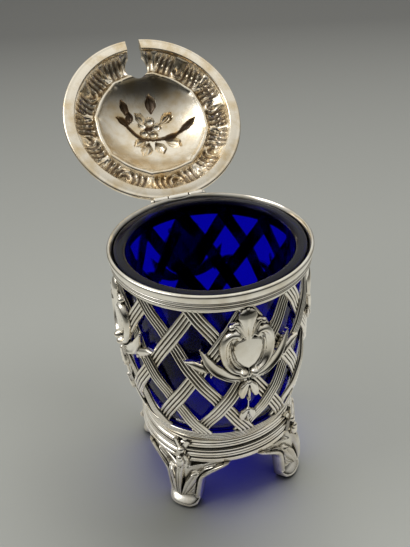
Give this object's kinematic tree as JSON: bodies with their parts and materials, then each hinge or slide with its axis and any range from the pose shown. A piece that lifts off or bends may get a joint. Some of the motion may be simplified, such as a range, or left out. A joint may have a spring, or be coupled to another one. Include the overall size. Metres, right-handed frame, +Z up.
{
  "type": "mustard pot",
  "caption": "Pierced silver mustard pot on scroll feet, with a hinged lid that has a spoon slot, round a lift-out cobalt glass liner.",
  "frame": {"origin": "on the table, under the axis of the round cage", "axes": "+Z up along the cage's axis, -Y out of the front (the side away from the hinge), +X to the right as seen from the front"},
  "size_m": [0.059, 0.1035, 0.1184],
  "materials": {
    "silver": "polished, dark in the recesses",
    "silver_gilt": "warm and lightly tarnished",
    "cobalt_glass": "clear and polished"
  },
  "bodies": {
    "cage": {"rim_band": "silver", "trellis": "silver", "plinth": "silver", "hinge_body_leaf": "silver", "hinge_pin": "silver", "foot_front_left": "silver", "foot_front_right": "silver", "foot_back_right": "silver", "foot_back_left": "silver", "ribbon_tie_front_left": "silver", "ribbon_tie_front_right": "silver", "ribbon_tie_back_right": "silver", "ribbon_tie_back_left": "silver", "cartouche_front": "silver", "cartouche_right": "silver", "cartouche_back": "silver", "cartouche_left": "silver", "acanthus_front": "silver", "acanthus_right": "silver", "acanthus_back": "silver", "acanthus_left": "silver", "husk_drop_front": "silver", "husk_drop_right": "silver", "husk_drop_back": "silver", "husk_drop_left": "silver"},
    "lid": {"lid_ring": "silver_gilt", "lid_crown": "silver_gilt", "lid_spray": "silver_gilt", "hinge_lid_leaf": "silver"},
    "liner": {"glass_liner": "cobalt_glass"}
  },
  "joints": [
    {"name": "lid_hinge", "type": "hinge", "parent": "cage", "child": "lid", "pos_m": [0, 0.02935, 0.0805], "axis": [1, 0, 0], "range_deg": [0, 138]},
    {"name": "liner_lift", "type": "slide", "parent": "cage", "child": "liner", "axis": [0, 0, 1], "range_m": [0, 0.095]}
  ]
}
